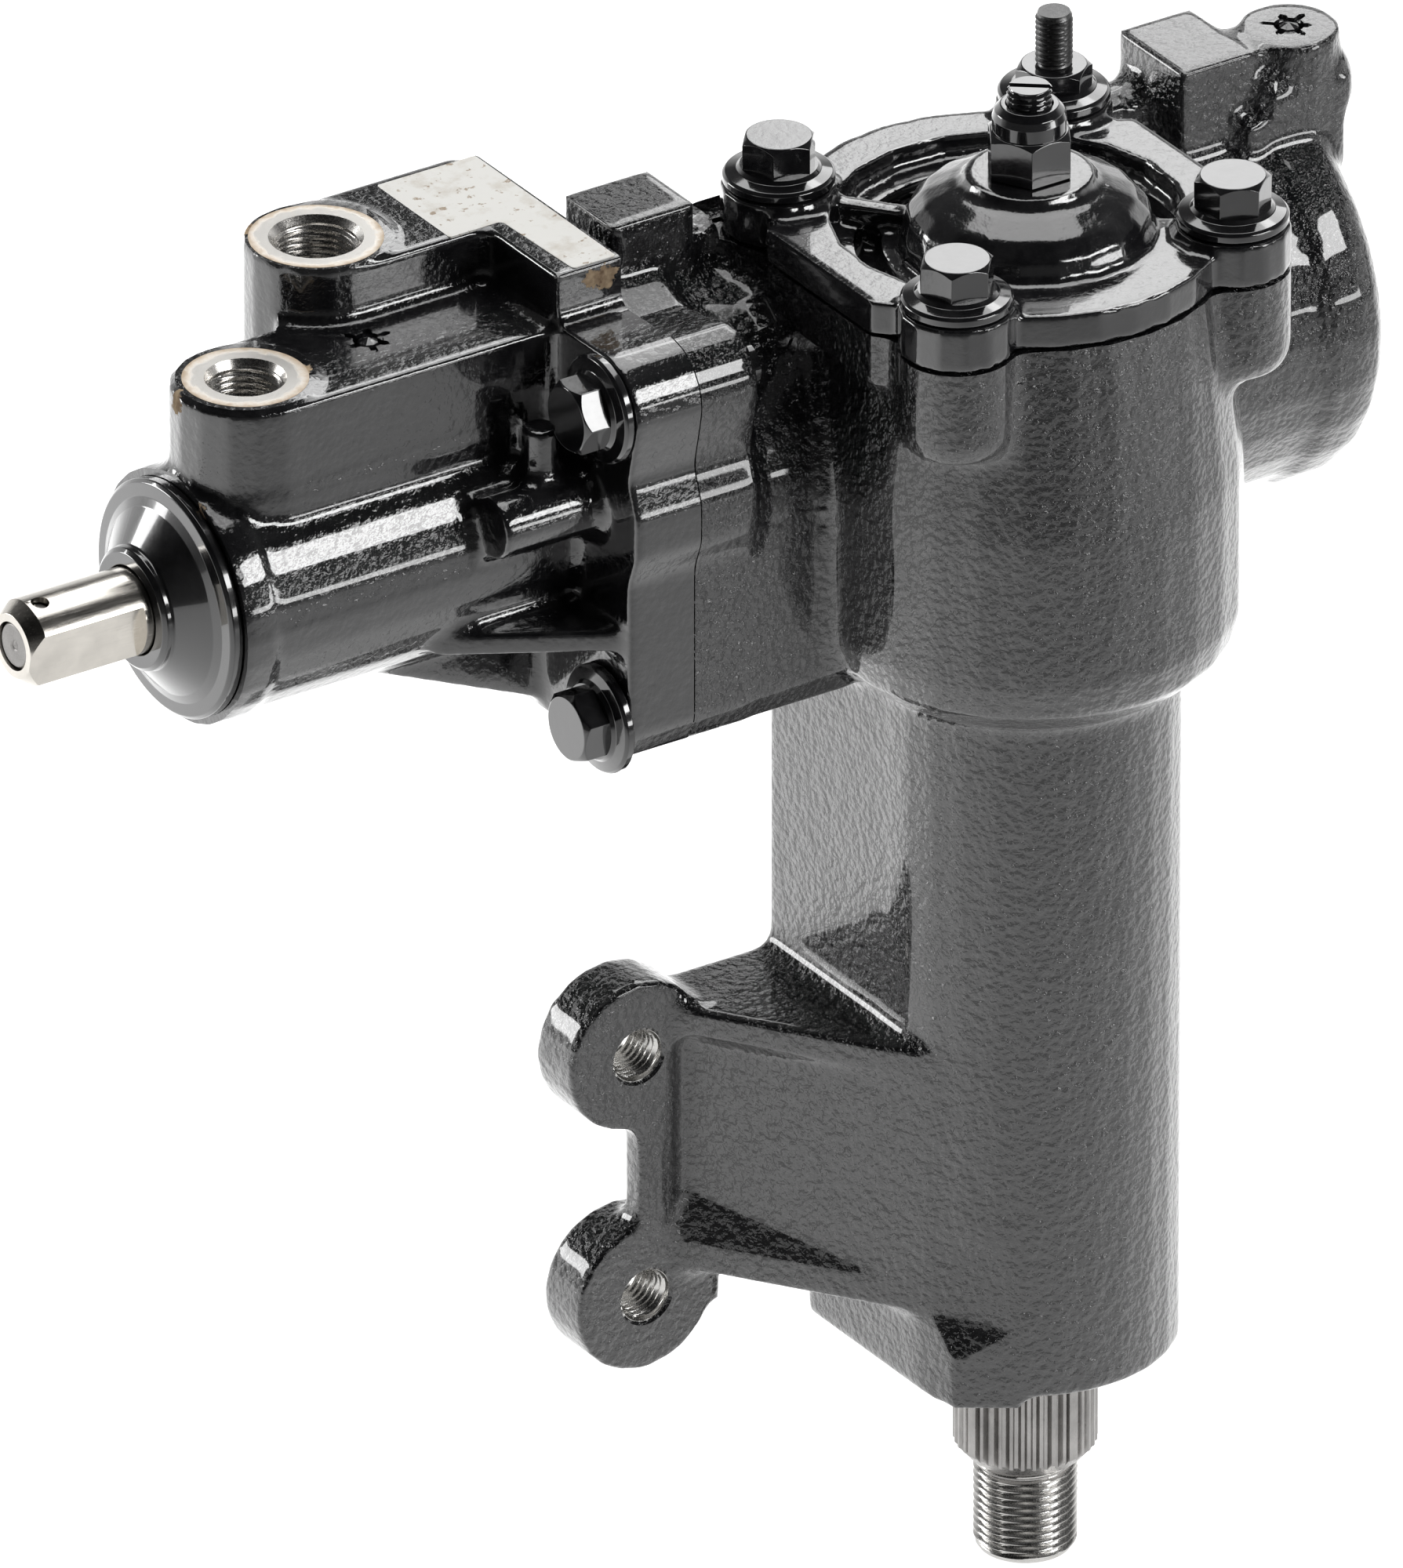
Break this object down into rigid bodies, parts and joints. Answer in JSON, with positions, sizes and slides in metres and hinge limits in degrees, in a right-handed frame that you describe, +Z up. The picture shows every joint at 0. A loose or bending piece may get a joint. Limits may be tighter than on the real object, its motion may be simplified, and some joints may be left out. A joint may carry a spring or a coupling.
{
  "type": "power steering gearbox",
  "caption": "Recirculating-ball power steering gearbox: ported valve housing, bolted sector cover, splined sector shaft and two-ear frame bracket.",
  "frame": {"origin": "centre of the lower end face of the sector shaft", "axes": "+Z up the sector shaft, -X along the input shaft towards the driver, +Y towards the chassis rail"},
  "size_m": [0.3261, 0.1534, 0.348],
  "materials": {
    "cast_housing": "black gloss enamel over rough sand-cast iron",
    "valve_casting": "smooth black gloss enamel over cast iron",
    "black_fastener": "black gloss enamel over hex-head steel",
    "bright_shaft": "bright plated and ground steel",
    "machined_steel": "turned and rolled steel",
    "plain_steel": "dark plain steel",
    "ball_steel": "polished bearing steel",
    "bushing_bronze": "plain bronze",
    "seal_rubber": "matt black nitrile",
    "ring_polymer": "dark filled polymer"
  },
  "bodies": {
    "housing": {"gear_housing": "cast_housing", "valve_housing": "valve_casting", "valve_housing_seal": "seal_rubber", "valve_bolt_1": "black_fastener", "valve_bolt_2": "black_fastener", "valve_bolt_3": "black_fastener", "valve_bolt_4": "black_fastener", "sector_cover": "valve_casting", "sector_cover_seal": "seal_rubber", "sector_cover_bushing": "bushing_bronze", "cover_bolt_1": "black_fastener", "cover_bolt_2": "black_fastener", "cover_bolt_3": "black_fastener", "cover_stud_bolt": "black_fastener", "lash_adjuster_screw": "plain_steel", "adjuster_lock_nut": "black_fastener", "seal_cover": "black_fastener", "input_shaft_seal": "seal_rubber", "input_shaft_bearing": "plain_steel", "thrust_bearing_front": "plain_steel", "thrust_bearing_rear": "plain_steel", "bearing_adjuster": "machined_steel", "sector_lower_bearing": "plain_steel", "sector_shaft_seal": "seal_rubber", "sector_dust_seal": "seal_rubber", "valve_passage_plug": "ball_steel", "rear_passage_plug": "ball_steel"},
    "worm": {"worm_shaft": "machined_steel", "valve_sleeve": "machined_steel", "valve_sleeve_ring_1": "ring_polymer", "valve_sleeve_ring_2": "ring_polymer", "valve_sleeve_ring_3": "ring_polymer"},
    "input": {"input_shaft": "bright_shaft", "torsion_bar": "machined_steel", "torsion_bar_pin": "plain_steel"},
    "rack": {"rack_piston": "machined_steel", "piston_seal_ring": "ring_polymer", "ball_return_guide": "bright_shaft", "guide_clamp": "bright_shaft", "guide_screw_1": "plain_steel", "guide_screw_2": "plain_steel", "ball_01": "ball_steel", "ball_02": "ball_steel", "ball_03": "ball_steel", "ball_04": "ball_steel", "ball_05": "ball_steel", "ball_06": "ball_steel", "ball_07": "ball_steel", "ball_08": "ball_steel", "ball_09": "ball_steel", "ball_10": "ball_steel", "ball_11": "ball_steel", "ball_12": "ball_steel", "ball_13": "ball_steel", "ball_14": "ball_steel"},
    "sector": {"sector_shaft": "machined_steel", "adjuster_retainer": "machined_steel"}
  },
  "joints": [
    {"name": "worm_turn", "type": "hinge", "parent": "housing", "child": "worm", "pos_m": [0, 0.052, 0.2563], "axis": [1, 0, 0], "range_deg": [-540, 540]},
    {"name": "valve_twist", "type": "hinge", "parent": "worm", "child": "input", "pos_m": [0, 0.052, 0.2563], "axis": [1, 0, 0], "range_deg": [-3, 3], "stiffness_Nm_per_rad": 2},
    {"name": "rack_slide", "type": "slide", "parent": "housing", "child": "rack", "axis": [1, 0, 0], "range_m": [-0.02121, 0.02121]},
    {"name": "sector_turn", "type": "hinge", "parent": "housing", "child": "sector", "pos_m": [0, 0, 0.2], "axis": [0, 0, 1], "range_deg": [-38.57, 38.57]}
  ],
  "couplings": [
    {"joint": "worm_turn", "follows": "rack_slide", "rad_per_m": -444.44},
    {"joint": "sector_turn", "follows": "rack_slide", "rad_per_m": -31.746}
  ]
}
